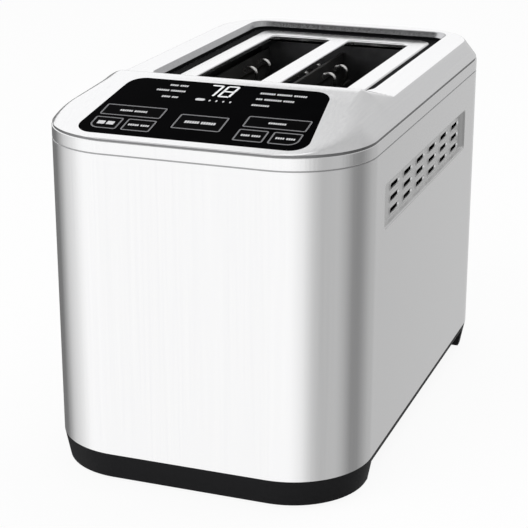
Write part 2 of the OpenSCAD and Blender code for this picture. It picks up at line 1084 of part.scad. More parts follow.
base_pan();
foot_front_left();
foot_front_right();
foot_rear_left();
foot_rear_right();
steel_wrap();
vent_panel_left();
vent_panel_right();
rear_panel();
cord_gland();
terminal_block();
upper_band();
top_cover();
well_gasket();
slot_plate();
control_glass();
display_module();
control_board();
key_switches();
front_plate();
rear_plate();
shield_left();
shield_right();
heater_board_left();
heater_board_centre();
heater_board_right();
heater_ribbon_left();
heater_ribbon_centre();
heater_ribbon_right();
guide_rod_left();
guide_rod_right();
rod_bracket_lower();
rod_bracket_upper();
motor_bridge();
lift_motor();
limit_switch_upper();
limit_switch_lower();
power_board();
power_transformer();
power_relay();
carriage_bracket();
bread_rack_left();
bread_rack_right();
gear_rack();
drive_pinion();
guide_left_outer();
guide_left_inner();
guide_right_inner();
guide_right_outer();
crumb_tray();
key_left_top();
key_left_outer();
key_left_inner();
key_centre();
key_right_top();
key_right_inner();
key_right_outer();
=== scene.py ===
# Two-slice toaster with a motor lift: the finished look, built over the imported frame
import json
import math

import bpy
from mathutils import Matrix, Vector


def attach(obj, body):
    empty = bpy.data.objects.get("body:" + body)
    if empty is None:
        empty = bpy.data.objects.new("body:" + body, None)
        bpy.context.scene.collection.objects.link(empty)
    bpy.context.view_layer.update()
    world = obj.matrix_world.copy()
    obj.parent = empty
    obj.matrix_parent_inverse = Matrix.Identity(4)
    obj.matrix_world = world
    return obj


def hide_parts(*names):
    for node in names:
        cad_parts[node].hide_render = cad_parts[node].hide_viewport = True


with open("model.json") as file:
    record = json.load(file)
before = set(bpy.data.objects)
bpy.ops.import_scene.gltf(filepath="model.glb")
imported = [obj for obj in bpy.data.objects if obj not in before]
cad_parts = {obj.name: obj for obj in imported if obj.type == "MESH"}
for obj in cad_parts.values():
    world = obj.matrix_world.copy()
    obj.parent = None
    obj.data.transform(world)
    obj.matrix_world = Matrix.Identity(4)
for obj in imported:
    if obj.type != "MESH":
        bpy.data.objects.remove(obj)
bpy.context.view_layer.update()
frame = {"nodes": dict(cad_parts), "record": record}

MM = 0.001

# Sizes in millimetres: those of the part's source, and a few that only the finer pieces have
HALF_W = 92.0
HALF_L = 155.5
FRONT_Y = -HALF_L
CORNER_R = 46.0
BASE_TOP = 17.5
SEAM_Z = 190.5
BAND_TOP = 198.8
LOWER_GROOVE = 0.5
UPPER_GROOVE = 0.8
GROOVE_DEPTH = 0.8
COVER_EDGE_IN = 0.45
WRAP_T = 1.0
RIM_RISE = 10.6
RIM_INSET = 8.2
RIM_Z = BAND_TOP + RIM_RISE
LIP_H = 0.4
TILT = math.radians(13.4)
CONSOLE_L = 78.0
RIDGE_Y = FRONT_Y + CONSOLE_L
RIDGE_FLAT = 4.0
RIDGE_Z = BAND_TOP + LIP_H + CONSOLE_L * math.tan(TILT)
CREASE_Y = -51.5
PLATE_Z = 204.9
PLATE_SIZE = (117.0, 168.4)
PLATE_R = 8.0
PLATE_Y = 45.7
GASKET_TOP = 201.9
WELL_SIZE = (136.0, 185.4)
WELL_Y = 46.7
WELL_R = 12.0
SLOT_SIZE = (40.3, 145.0)
SLOT_R = 4.0
SLOT_X = 26.45
SLOT_Y = 42.0
PANEL_FRONT = 131.4
PANEL_REAR = 116.4
PANEL_L = 67.8
PANEL_R = 10.0
PANEL_V = 6.2
PANEL_GAP = 0.15
VENT_SIZE = (183.0, 26.0)
VENT_R = 3.0
VENT_Y = -3.0
VENT_Z = 158.4
VENT_DEPTH = 3.0
VENT_COLUMNS = 6
VENT_ROWS = 3
VENT_PITCH = (27.4, 7.0)
VENT_SHIFT = (6.0, -1.2)
VENT_RIM = (20.2, 5.6)
REAR_PANEL = (80.0, 70.0)
REAR_PANEL_R = 5.0
REAR_PANEL_Z = 65.0
GLAND_X = 24.0
GLAND_Z = 45.0
TRAY_W = 111.0
TRAY_FRONT = -34.0
TRAY_REAR = 152.0
TRAY_Z = 4.8
TRAY_H = 7.0
PULL_T = 2.5
GUIDE_X = {"left_outer": -44.5, "left_inner": -8.5, "right_inner": 8.5, "right_outer": 44.5}
GUIDE_TOP = 192.9
PIVOT_Z = 50.0
# Width and height of a printed letter, and of the two bread slices on one key
LETTER = (0.95, 1.9)
BOLD_LETTER = (1.1, 2.6)
SLICE = (4.2, 3.6)
# Each key's middle and size on the slope, the side of its large corner, its words and their letter
KEYS = {
    "key_left_top": (-41.0, 33.5, 36.0, 13.0, None, (6, 6), LETTER),
    "key_left_outer": (-50.6, 18.25, 16.8, 13.5, -1, (1, 1), SLICE),
    "key_left_inner": (-31.6, 18.25, 17.2, 13.5, None, (5, 4), LETTER),
    "key_centre": (0.0, 27.05, 28.4, 17.1, None, (6, 6), BOLD_LETTER),
    "key_right_top": (41.0, 33.5, 36.0, 13.0, None, (8,), LETTER),
    "key_right_inner": (31.6, 18.25, 17.2, 13.5, None, (4, 4), LETTER),
    "key_right_outer": (50.6, 18.25, 16.8, 13.5, 1, (4, 4), LETTER),
}

# Length of a cutter that goes through one sheet
CUT_THROUGH = 12.0
# Segments of each round corner of the body
CORNER_STEPS = 32
# Faces that meet at less than this angle are shaded as one
SMOOTH_BELOW = math.radians(30)

# The photo's camera: place in metres, lens in millimetres, and its turns down and to the side
CAMERA_PLACE = (0.3150, -0.8879, 0.4112)
CAMERA_LENS = 109.3
CAMERA_DOWN = math.radians(19.1)
CAMERA_ASIDE = math.radians(20.2)

# Side of the floor and radius of the rings of cards round the object, in metres
FLOOR_SIZE = 12.0
CARD_RADIUS = 3.0
# Each ring's lowest and highest edge in metres, and its brightness by direction, in degrees from +X
# towards +Y. The lowest ring is what walls show when they are seen from higher up.
CARD_RINGS = {
    "table_cards": (-9.0, -2.2, [
        (-180, 0.5), (-130, 0.62), (-90, 0.68), (-50, 0.48), (0, 0.36), (60, 0.46), (110, 0.4), (150, 0.3),
        (180, 0.5),
    ]),
    "low_cards": (-2.2, 0.45, [
        (-180, 0.6), (-160, 0.8), (-145, 1.0), (-75, 1.0), (-60, 0.86), (-48, 0.6), (-36, 0.47), (-12, 0.5),
        (0, 0.4), (12, 0.25), (26, 0.25), (38, 0.34), (52, 0.44), (66, 0.46), (85, 0.62), (105, 0.45),
        (120, 0.2), (155, 0.17), (170, 0.4), (180, 0.6),
    ]),
    "middle_cards": (0.45, 1.95, [
        (-180, 1.0), (-85, 0.95), (-50, 0.5), (-20, 0.5), (40, 0.46), (72, 0.58), (80, 0.58),
        (90, 0.66), (99, 1.0), (180, 1.0),
    ]),
    "high_cards": (1.95, 16.0, [
        (-180, 1.0), (-160, 0.9), (-140, 0.12), (-112, 0.06), (-102, 0.2), (-85, 0.2), (-50, 0.42),
        (-20, 0.55), (55, 0.5), (90, 0.6), (113, 0.64), (119, 1.0), (180, 1.0),
    ]),
}

# Frame on the console slope: u across, v up the slope, w out of it
SLOPE = Matrix.Translation(Vector((0, FRONT_Y, BAND_TOP + LIP_H)) * MM) @ Matrix.Rotation(TILT, 4, "X")


# Tools of the modeller


def deselect():
    """Leaves edit mode and lets go of every object."""
    if bpy.context.mode != "OBJECT":
        bpy.ops.object.mode_set(mode="OBJECT")
    bpy.ops.object.select_all(action="DESELECT")


def take(piece):
    """Makes a piece the only selected and active object."""
    deselect()
    piece.select_set(True)
    bpy.context.view_layer.objects.active = piece


def settle(piece, matrix=None):
    """Puts a piece where the matrix says and bakes its place into its mesh."""
    take(piece)
    if matrix is not None:
        piece.matrix_world = matrix
    bpy.ops.object.transform_apply(location=True, rotation=True, scale=True)
    return piece


def block(name, low, high):
    """A box between two corners given in millimetres."""
    deselect()
    bpy.ops.mesh.primitive_cube_add(
        size=1,
        location=[(a + b) / 2 * MM for a, b in zip(low, high)],
        scale=[(b - a) * MM for a, b in zip(low, high)],
    )
    bpy.context.object.name = name
    return settle(bpy.context.object)


def pick(piece, kind, wanted):
    """Selects in edit mode the vertices, edges or faces that wanted accepts by their points or normal."""
    take(piece)
    mesh = piece.data
    groups = {"VERT": mesh.vertices, "EDGE": mesh.edges, "FACE": mesh.polygons}
    for group in groups.values():
        group.foreach_set("select", [False] * len(group))
    for item in groups[kind]:
        if kind == "VERT":
            item.select = wanted(item.co / MM)
        elif kind == "EDGE":
            item.select = wanted(*[mesh.vertices[i].co / MM for i in item.vertices])
        else:
            item.select = wanted(item.center / MM, item.normal)
    bpy.context.tool_settings.mesh_select_mode = [kind == name for name in groups]
    bpy.ops.object.mode_set(mode="EDIT")


def flat_face(name, size):
    """A flat rectangle at the origin, facing up."""
    deselect()
    bpy.ops.mesh.primitive_plane_add(size=1)
    piece = bpy.context.object
    piece.name = name
    piece.scale = (size[0] * MM, size[1] * MM, 1)
    return settle(piece)


def soft_face(name, size, corners, segments=12):
    """A flat face at the origin with round corners; corners is one radius, or one for each of the four."""
    piece = flat_face(name, size)
    if not hasattr(corners, "__len__"):
        corners = [corners] * 4
    ends = [(-1, -1), (1, -1), (1, 1), (-1, 1)]
    for (sx, sy), radius in zip(ends, corners):
        at = Vector((sx * size[0] / 2, sy * size[1] / 2, 0))
        pick(piece, "VERT", lambda p: (p - at).length < 0.01)
        bpy.ops.mesh.bevel(offset=radius * MM, segments=segments, profile=0.5, affect="VERTICES")
    deselect()
    return piece


def move(piece, x=0.0, y=0.0, z=0.0):
    """Moves a piece by millimetres, in its mesh."""
    return settle(piece, Matrix.Translation(Vector((x, y, z)) * MM))


def copy_of(piece):
    """A copy of a piece with a mesh of its own."""
    twin = piece.copy()
    twin.data = piece.data.copy()
    bpy.context.scene.collection.objects.link(twin)
    return twin


def step_face(piece, steps, opened=True):
    """Insets the piece's one flat face in steps of (inset, rise); opened takes the last face away."""
    pick(piece, "FACE", lambda middle, normal: True)
    for inset, rise in steps:
        bpy.ops.mesh.inset(thickness=inset * MM, depth=rise * MM)
    if opened:
        bpy.ops.mesh.delete(type="ONLY_FACE")
    deselect()
    return piece


def thicken(piece, depth):
    """Gives a surface its sheet thickness in millimetres, on the side away from its normals."""
    take(piece)
    modifier = piece.modifiers.new("sheet", "SOLIDIFY")
    modifier.thickness = depth * MM
    modifier.offset = -1
    modifier.use_even_offset = True
    bpy.ops.object.modifier_apply(modifier=modifier.name)
    return piece


def cut(piece, cutter):
    """Cuts one solid out of another and removes the cutter."""
    take(piece)
    modifier = piece.modifiers.new("cut", "BOOLEAN")
    modifier.operation = "DIFFERENCE"
    modifier.solver = "EXACT"
    modifier.object = cutter
    bpy.ops.object.modifier_apply(modifier=modifier.name)
    bpy.data.objects.remove(cutter)
    return piece


def merge(piece):
    """Merges a piece's points that lie on each other."""
    take(piece)
    bpy.ops.object.mode_set(mode="EDIT")
    bpy.ops.mesh.select_all(action="SELECT")
    bpy.ops.mesh.remove_doubles(threshold=0.001 * MM)
    deselect()
    return piece


def join(pieces):
    """Joins pieces into the first one and merges the points they share."""
    take(pieces[0])
    for piece in pieces[1:]:
        piece.select_set(True)
    bpy.ops.object.join()
    return merge(pieces[0])


def fill_level(piece, level):
    """Fills the flat space between the open edges at one height, facing up."""
    pick(piece, "EDGE", lambda a, b: abs(a.z - level) < 0.001 and abs(b.z - level) < 0.001)
    bpy.ops.mesh.fill(use_beauty=True)
    pick(piece, "FACE", lambda middle, normal: abs(middle.z - level) < 0.001 and normal.z < 0)
    bpy.ops.mesh.flip_normals()
    deselect()
    return piece


def body_block(name, low_z, high_z):
    """A block with the body's outline between two heights."""
    piece = block(name, (-HALF_W, -HALF_L, low_z), (HALF_W, HALF_L, high_z))
    pick(piece, "EDGE", lambda a, b: abs(a.z - b.z) > 0.1)
    bpy.ops.mesh.bevel(offset=CORNER_R * MM, segments=CORNER_STEPS, profile=0.5, affect="EDGES")
    deselect()
    return piece


def raise_face(piece, height, start=0.0):
    """Extrudes a flat face into a prism of that height, from the start level."""
    move(piece, z=start)
    pick(piece, "FACE", lambda middle, normal: True)
    bpy.ops.mesh.extrude_region_move(TRANSFORM_OT_translate={"value": (0, 0, height * MM)})
    bpy.ops.mesh.select_all(action="SELECT")
    bpy.ops.mesh.normals_make_consistent(inside=False)
    deselect()
    return piece


def punch(piece):
    """Makes a flat outline into a cutter that goes through a sheet on both sides of it."""
    return raise_face(piece, CUT_THROUGH, -CUT_THROUGH / 2)


def tubes(name, lines, radius):
    """Round wire of one radius along each line of points, as one mesh with closed ends."""
    curve = bpy.data.curves.new(name, "CURVE")
    curve.dimensions = "3D"
    curve.bevel_depth = radius * MM
    curve.bevel_resolution = 3
    curve.use_fill_caps = True
    for line in lines:
        spline = curve.splines.new("POLY")
        spline.points.add(len(line) - 1)
        for point, place in zip(spline.points, line):
            point.co = [c * MM for c in place] + [1.0]
    piece = bpy.data.objects.new(name, curve)
    bpy.context.scene.collection.objects.link(piece)
    take(piece)
    bpy.ops.object.convert(target="MESH")
    return merge(bpy.context.object)


def complete(piece, body, slot, nodes=(), material=None):
    """Smooths and paints a piece, ties it to its body, and hides the nodes that it stands for."""
    take(piece)
    bpy.ops.object.shade_smooth_by_angle(angle=SMOOTH_BELOW)
    modifier = piece.modifiers.new("flat_faces", "WEIGHTED_NORMAL")
    modifier.keep_sharp = True
    bpy.ops.object.modifier_apply(modifier=modifier.name)
    piece.data.materials.clear()
    piece.data.materials.append(material or FINISHES[slot])
    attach(piece, body)
    if nodes:
        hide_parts(*nodes)
    return piece


# Finishes


def linear(hex_colour):
    """Linear RGBA of an sRGB hex colour."""
    channels = [int(hex_colour[i : i + 2], 16) / 255 for i in (1, 3, 5)]
    return [c / 12.92 if c <= 0.04045 else ((c + 0.055) / 1.055) ** 2.4 for c in channels] + [1.0]


def new_finish(name):
    """A material, its node tree and its shader."""
    material = bpy.data.materials.new(name)
    material.use_nodes = True
    return material, material.node_tree, material.node_tree.nodes["Principled BSDF"]


def add(tree, kind, settings=None, links=None):
    """Adds a node, sets its properties and inputs, and links its inputs to other nodes' outputs."""
    node = tree.nodes.new(kind)
    for name, value in (settings or {}).items():
        if isinstance(name, int) or name in node.inputs:
            node.inputs[name].default_value = value
        else:
            setattr(node, name, value)
    for name, socket in (links or {}).items():
        tree.links.new(socket, node.inputs[name])
    return node


def set_shader(tree, shader, settings, links=None):
    """Sets the shader's own sockets and links the ones that vary over the surface."""
    for name, value in settings.items():
        shader.inputs[name].default_value = value
    for name, socket in (links or {}).items():
        tree.links.new(socket, shader.inputs[name])


def brushed_steel(name, along, dark, light, rough):
    """Brushed stainless sheet: belt-ground lines that stretch a reflection across themselves."""
    # Real lines lie about 0.1 mm apart; here they are 1.2 mm apart and 120 mm long, so that they show
    material, tree, shader = new_finish(name)
    spacing, length = 1.2 * MM, 120 * MM
    scale = [1 / length if axis == along else 1 / spacing for axis in "XYZ"]
    place = add(tree, "ShaderNodeTexCoord")
    stretch = add(tree, "ShaderNodeMapping", {"Scale": scale}, {"Vector": place.outputs["Object"]})
    lines = add(
        tree,
        "ShaderNodeTexNoise",
        {"Scale": 1.0, "Detail": 3.0, "Roughness": 0.6},
        {"Vector": stretch.outputs["Vector"]},
    )
    tone = add(
        tree,
        "ShaderNodeMix",
        {"data_type": "RGBA", 6: linear(dark), 7: linear(light)},
        {0: lines.outputs["Fac"]},
    )
    gloss = add(
        tree,
        "ShaderNodeMapRange",
        {"From Min": 0.3, "From Max": 0.7, "To Min": rough - 0.03, "To Max": rough + 0.03},
        {"Value": lines.outputs["Fac"]},
    )
    relief = add(
        tree,
        "ShaderNodeBump",
        {"Strength": 0.06, "Distance": 0.03 * MM},
        {"Height": lines.outputs["Fac"]},
    )
    set_shader(
        tree,
        shader,
        {"Metallic": 1.0},
        {
            "Base Color": tone.outputs[2],
            "Roughness": gloss.outputs["Result"],
            "Normal": relief.outputs["Normal"],
        },
    )
    return material


def grained(name, dark, light, grain, rough, metallic=0.0, relief_depth=0.03, shine=0.5):
    """A moulded, cast or rolled surface: a grain of that size in millimetres in tone, gloss and relief."""
    material, tree, shader = new_finish(name)
    place = add(tree, "ShaderNodeTexCoord")
    spots = add(
        tree,
        "ShaderNodeTexNoise",
        {"Scale": 1 / (grain * MM), "Detail": 4.0, "Roughness": 0.55},
        {"Vector": place.outputs["Object"]},
    )
    tone = add(
        tree,
        "ShaderNodeMix",
        {"data_type": "RGBA", 6: linear(dark), 7: linear(light)},
        {0: spots.outputs["Fac"]},
    )
    gloss = add(
        tree,
        "ShaderNodeMapRange",
        {"From Min": 0.3, "From Max": 0.7, "To Min": rough - 0.06, "To Max": rough + 0.06},
        {"Value": spots.outputs["Fac"]},
    )
    relief = add(
        tree,
        "ShaderNodeBump",
        {"Strength": 0.3, "Distance": relief_depth * MM},
        {"Height": spots.outputs["Fac"]},
    )
    set_shader(
        tree,
        shader,
        {"Metallic": metallic, "Specular IOR Level": shine},
        {
            "Base Color": tone.outputs[2],
            "Roughness": gloss.outputs["Result"],
            "Normal": relief.outputs["Normal"],
        },
    )
    return material


# Stainless sheet, brushed upright on the walls and lengthwise on the top
WALL_STEEL = brushed_steel("brushed_stainless_wall", "Z", "#f6f6f7", "#ffffff", 0.17)
TOP_STEEL = brushed_steel("brushed_stainless_top", "Y", "#f2f2f4", "#ffffff", 0.17)
# The press of the vents: the same sheet with a duller shine, painted darker as the shade in its dish
VENT_STEEL_PAINTED_SHADE = brushed_steel("brushed_stainless_press_painted_shade", "Z", "#e6e6e6", "#f6f6f6", 0.34)
# The wall of the well: the same sheet, painted greyer as the shade inside the well
WELL_STEEL_PAINTED_SHADE = brushed_steel("brushed_stainless_well_painted_shade", "Z", "#bcbcbe", "#dadadc", 0.2)
# One finish for each of the record's material slots
FINISHES = {
    "brushed_steel": WALL_STEEL,
    "slot_steel": TOP_STEEL,
    # ABS moulded in a spark-eroded tool: a fine texture that breaks up the shine
    "black_plastic": grained("black_abs_moulded", "#161617", "#222224", 0.6, 0.5, shine=0.08),
    # Silicone rubber, moulded: dull, with dust in its skin
    "rubber": grained("black_silicone_rubber", "#0a0a0b", "#131315", 0.8, 0.62, shine=0.02),
    # Tempered glass printed black on its back, with a coat against glare: deep black and smooth
    "black_glass": grained(
        "black_tempered_glass", "#020203", "#050506", 14.0, 0.1, relief_depth=0.004, shine=0.002
    ),
    # Polycarbonate key with a hard gloss coat: black like the glass around it
    "key_black": grained(
        "black_gloss_polycarbonate", "#030304", "#070708", 9.0, 0.12, relief_depth=0.004, shine=0.003
    ),
    # Zinc-plated chassis sheet, darkened and dulled by the heat of the chamber, and painted darker still as
    # the shade in the slots
    "zinc_sheet": grained("heat_and_shade_darkened_zinc_sheet", "#2c2c2d", "#4a4a4b", 7.0, 0.5, 1.0, 0.05),
    # Mica board, split from flakes: a mottled grey, darkened by the heat, and painted darker still as the
    # shade in the slots
    "mica": grained("mica_board", "#201f1f", "#3b3a39", 2.5, 0.55, 0.0, 0.06),
    # Nichrome ribbon, rolled and oxidised: a dark grey metal with a dry shine
    "ribbon": grained("nichrome_ribbon", "#3a3835", "#6a6661", 1.5, 0.4, 1.0),
    # Drawn wire, nickel plated: dulled and darkened by the heat of the chamber, and painted darker still as
    # the shade deep in the slots
    "wire": grained("nickel_plated_wire", "#5a5957", "#7c7b79", 1.2, 0.42, 1.0),
    # Nylon gear stock, moulded: milky white with a waxy sheen
    "gear_nylon": grained("white_nylon", "#d8d5ca", "#e6e3d9", 1.5, 0.45),
    # Deep-drawn motor can, zinc plated: cloudy grey metal
    "motor_metal": grained("zinc_plated_motor_can", "#868687", "#ababac", 2.0, 0.35, 1.0),
    # Glass-epoxy board under green solder mask: the weave shows as cloudy tone
    "circuit_board": grained("green_circuit_board", "#12402a", "#1d5a3a", 3.0, 0.4),
    # Filled epoxy and nylon of the electric parts: dark grey and matt
    "component": grained("moulded_component", "#2c2d31", "#44464c", 1.2, 0.5),
}
# The wires' tips stand at the top of the slots: the same plated wire, painted bright for the light that falls
# on them there
TIP_NICKEL_PAINTED_LIGHT = grained("nickel_wire_tips_painted_light", "#ecebe9", "#faf9f7", 1.2, 0.3, 1.0)
# The chamber's end plates: the same zinc, painted a lighter cloudy grey as the highlight they catch in the
# slots
END_ZINC_PAINTED_HIGHLIGHT = grained("end_plate_zinc_painted_highlight", "#5c5c5e", "#7e7e80", 7.0, 0.45, 1.0, 0.05)
# Aluminised steel of the crumb tray, rolled: pale and cloudy, with a soft sheen
TRAY_SHEET = grained("aluminised_tray_sheet", "#b2b3b5", "#d2d3d5", 6.0, 0.4, 1.0, 0.03)
# Metal rails in the seams, matt: grey strips painted as the shade in the grooves, the upper one darker for
# the deeper shade of the wider upper seam
LOWER_SEAM_SHADE_RAIL = grained("lower_seam_painted_shade", "#a8a8a9", "#c6c6c7", 2.0, 0.4, 1.0)
UPPER_SEAM_SHADE_RAIL = grained("upper_seam_painted_shade", "#7a7a7b", "#9e9e9f", 2.0, 0.4, 1.0)
# Screen-printed enamel ink: matt, with a fine grain from the mesh
OUTLINE_INK = grained("grey_enamel_ink", "#6b6b6d", "#7d7d80", 0.5, 0.55, relief_depth=0.01, shine=0.2)
LABEL_INK = grained("pale_enamel_ink", "#c4c4c6", "#dddddf", 0.5, 0.55, relief_depth=0.01, shine=0.2)
# Lit display segments behind the glass: even white with a faint grain
DIGIT_INK = grained("white_display_segment", "#e9eaec", "#f6f6f7", 0.6, 0.5, relief_depth=0.01, shine=0.2)


# Case


def steel_wrap():
    """The bent sheet round the body, with its openings for the vents and the rear panel."""
    wrap = body_block("steel_wrap_sheet", BASE_TOP, SEAM_Z)
    pick(wrap, "FACE", lambda middle, normal: abs(normal.z) > 0.9)
    bpy.ops.mesh.delete(type="ONLY_FACE")
    thicken(wrap, WRAP_T)
    for side in (-1, 1):
        cut(wrap, settle(punch(soft_face("vent_opening", VENT_SIZE, VENT_R)), side_frame(side)))
    cut(wrap, settle(punch(soft_face("rear_opening", REAR_PANEL, REAR_PANEL_R)), rear_frame()))
    complete(wrap, "case", "brushed_steel", ["steel_wrap"])


def side_frame(side):
    """Frame on a side wall: u along the wall, v up, w outward."""
    turn = Matrix(((0, 0, side, 0), (side, 0, 0, 0), (0, 1, 0, 0), (0, 0, 0, 1)))
    return Matrix.Translation(Vector((side * HALF_W, VENT_Y, VENT_Z)) * MM) @ turn


def rear_frame():
    """Frame on the rear wall: u to the right as seen from behind, v up, w outward."""
    turn = Matrix(((-1, 0, 0, 0), (0, 0, 1, 0), (0, 1, 0, 0), (0, 0, 0, 1)))
    return Matrix.Translation(Vector((0, HALF_L, REAR_PANEL_Z)) * MM) @ turn


def vent_panel(name, side):
    """The dished press in a side wall, with rows of slots that have a raised lip."""
    wall_steps = [(0.5, -0.08), (0.5, -0.4), (0.5, -0.7), (0.5, -0.82)]
    wall_steps += [(0.4, -0.62), (0.3, -0.3), (0.3, -0.08)]
    lip_steps = [(0.4, 0.3), (0.3, 0.12), (0.25, 0.02), (0.2, -0.25), (0.15, -0.8)]
    lip_r = VENT_RIM[1] / 2 - lip_steps[0][0]
    longer_ends, steeper_sides, sheet = 2.4, 1.4, 0.4
    recess = step_face(soft_face(name + "_press", VENT_SIZE, VENT_R), wall_steps)
    # The walls of the dish run in further at its two ends and less far along its sides
    for vertex in recess.data.vertices:
        vertex.co.x += math.copysign(longer_ends / VENT_DEPTH, vertex.co.x) * vertex.co.z
        vertex.co.y -= math.copysign(steeper_sides / VENT_DEPTH, vertex.co.y) * vertex.co.z
    slots = []
    first = step_face(soft_face("vent_slot", VENT_RIM, lip_r, 6), lip_steps)
    for row in range(VENT_ROWS):
        v = (row - (VENT_ROWS - 1) / 2) * VENT_PITCH[1] + VENT_SHIFT[1]
        for column in range(VENT_COLUMNS):
            u = (column - (VENT_COLUMNS - 1) / 2) * VENT_PITCH[0] + side * VENT_SHIFT[0]
            slots.append(move(copy_of(first), u, v, -VENT_DEPTH))
    bpy.data.objects.remove(first)
    panel = thicken(fill_level(join([recess] + slots), -VENT_DEPTH), sheet)
    # The press takes the steel painted darker for the shade in its dish
    complete(settle(panel, side_frame(side)), "case", "brushed_steel", [name], VENT_STEEL_PAINTED_SHADE)


def rear_panel():
    """The service panel in the rear wall: soft border, sunk field with louvres, collar round the gland."""
    border_steps = [(0.15, 0.6), (0.25, 0.28), (0.5, 0.12), (2.6, 0)]
    border_steps += [(0.4, -0.1), (0.3, -0.4), (0.2, -0.2)]
    louvre_steps = [(0.3, 0.25), (0.3, 0.1), (0.3, -0.1), (0.2, -0.5), (0.05, -0.8)]
    collar_steps = [(0.6, 0.35), (0.8, 0.15), (0.3, -0.05), (0.15, -0.6)]
    louvre_size, louvre_r, louvre_pitch, louvre_count, lowest_louvre = (58.0, 3.6), 1.4, 6.0, 5, 1.5
    gap, field, collar_r, sheet = 0.15, -0.7, 9.0, 0.5
    size = [side - 2 * gap for side in REAR_PANEL]
    panel = move(soft_face("rear_service_panel", size, REAR_PANEL_R - gap), z=-WRAP_T)
    step_face(panel, border_steps)
    first = step_face(soft_face("louvre", louvre_size, louvre_r, 5), louvre_steps)
    levels = [lowest_louvre + louvre_pitch * row for row in range(louvre_count)]
    louvres = [move(copy_of(first), 0, level, field) for level in levels]
    bpy.data.objects.remove(first)
    deselect()
    bpy.ops.mesh.primitive_circle_add(vertices=48, radius=collar_r * MM, fill_type="NGON")
    collar = step_face(bpy.context.object, collar_steps)
    move(collar, -GLAND_X, GLAND_Z - REAR_PANEL_Z, field)
    thicken(fill_level(join([panel] + louvres + [collar]), field), sheet)
    complete(settle(panel, rear_frame()), "case", "black_plastic", ["rear_panel"])


def crumb_tray():
    """The folded sheet under the slots, with a rolled rim and pressed ribs."""
    sheet, roll, corner_r = 0.35, 0.4, 2.5
    rib_w, rib_r, rib_pitch, rib_margin = 9.0, 4.2, 27.0, 20.0
    rib_steps = [(0.7, 0.25), (0.7, 0.35), (0.8, 0.2)]
    rim = [(0.2, 0.3), (0.25, 0.1), (0.25, -0.1), (0.15, -0.35)]
    fold = [(0.2, -0.6), (0.4, -0.4), (0.6, -0.2)]
    wall_h = TRAY_H - sheet - sum(-rise for _, rise in rim[2:] + fold)
    length = TRAY_REAR - PULL_T - TRAY_FRONT
    middle, floor = TRAY_FRONT + length / 2, TRAY_Z + sheet
    pan = soft_face("crumb_tray_pan", (TRAY_W, length), corner_r, 6)
    step_face(pan, rim + [(0.05, -wall_h)] + fold)
    move(pan, y=middle, z=TRAY_Z + TRAY_H - roll)
    first = soft_face("rib", (rib_w, length - 2 * rib_margin), rib_r, 6)
    step_face(first, rib_steps, opened=False)
    ribs = [move(copy_of(first), rib_pitch * column, middle, floor) for column in (-1, 0, 1)]
    bpy.data.objects.remove(first)
    thicken(fill_level(join([pan] + ribs), floor), sheet)
    complete(pan, "tray", "zinc_sheet", ["crumb_tray"], TRAY_SHEET)


def tray_pull():
    """The moulded bar at the tray's rear end, with a hollow for the fingers."""
    above_rim, edge_r = 1.0, 0.5
    pull = block(
        "crumb_tray_pull",
        (-TRAY_W / 2, TRAY_REAR - PULL_T, TRAY_Z),
        (TRAY_W / 2, TRAY_REAR, TRAY_Z + TRAY_H + above_rim),
    )
    pick(pull, "EDGE", lambda a, b: True)
    bpy.ops.mesh.bevel(offset=edge_r * MM, segments=3, affect="EDGES")
    pick(pull, "FACE", lambda middle, normal: normal.y > 0.99)
    for inset, depth in ((1.0, 0), (0.4, -0.3), (0.5, -0.9)):
        bpy.ops.mesh.inset(thickness=inset * MM, depth=depth * MM)
    complete(pull, "tray", "black_plastic", ["crumb_tray"])


def trim_band():
    """The band between the two seams, with a groove above and below it and a grey rail in each groove that
    paints the groove's shade.
    """
    low, high = SEAM_Z + LOWER_GROOVE, BAND_TOP - UPPER_GROOVE
    edge_r, sheet = 0.5, 1.2
    band = body_block("trim_band_sheet", low, high)
    pick(band, "FACE", lambda middle, normal: abs(normal.z) > 0.9)
    bpy.ops.mesh.inset(thickness=GROOVE_DEPTH * MM, use_individual=True)
    for level, rise in ((low, -LOWER_GROOVE), (high, UPPER_GROOVE)):
        pick(
            band,
            "FACE",
            lambda middle, normal: abs(normal.z) > 0.9
            and abs(middle.z - level) < 0.01
            and middle.xy.length < 1,
        )
        bpy.ops.mesh.extrude_region_move(TRANSFORM_OT_translate={"value": (0, 0, rise * MM)})
        bpy.ops.mesh.delete(type="ONLY_FACE")
    pick(
        band,
        "EDGE",
        lambda a, b: all(
            min(abs(p.z - low), abs(p.z - high)) < 0.01 and inset_of(p.x, p.y) < 0.01 for p in (a, b)
        ),
    )
    bpy.ops.mesh.bevel(offset=edge_r * MM, segments=3, affect="EDGES")
    deselect()
    complete(thicken(band, sheet), "case", "brushed_steel", ["upper_band"])
    cover_edge = COVER_EDGE_IN * RIM_RISE / RIM_INSET
    # Each groove's rail is painted shade: a grey strip, darker in the upper seam
    for name, level, height, rail_in, finish in (
        ("seam_shade_rail_lower", SEAM_Z, LOWER_GROOVE, 0.35, LOWER_SEAM_SHADE_RAIL),
        ("seam_shade_rail_upper", high, UPPER_GROOVE + cover_edge, 0.6, UPPER_SEAM_SHADE_RAIL),
    ):
        size = (2 * (HALF_W - rail_in), 2 * (HALF_L - rail_in))
        rail = soft_face(name, size, CORNER_R - rail_in, CORNER_STEPS)
        step_face(rail, [(GROOVE_DEPTH - rail_in, 0)])
        complete(raise_face(rail, height, level), "case", "motor_metal", (), finish)


def inset_of(x, y):
    """How far a point lies in from the body's outline."""
    across, along = abs(x) - HALF_W + CORNER_R, abs(y) - HALF_L + CORNER_R
    return CORNER_R - math.hypot(max(across, 0), max(along, 0)) - min(max(across, along), 0)


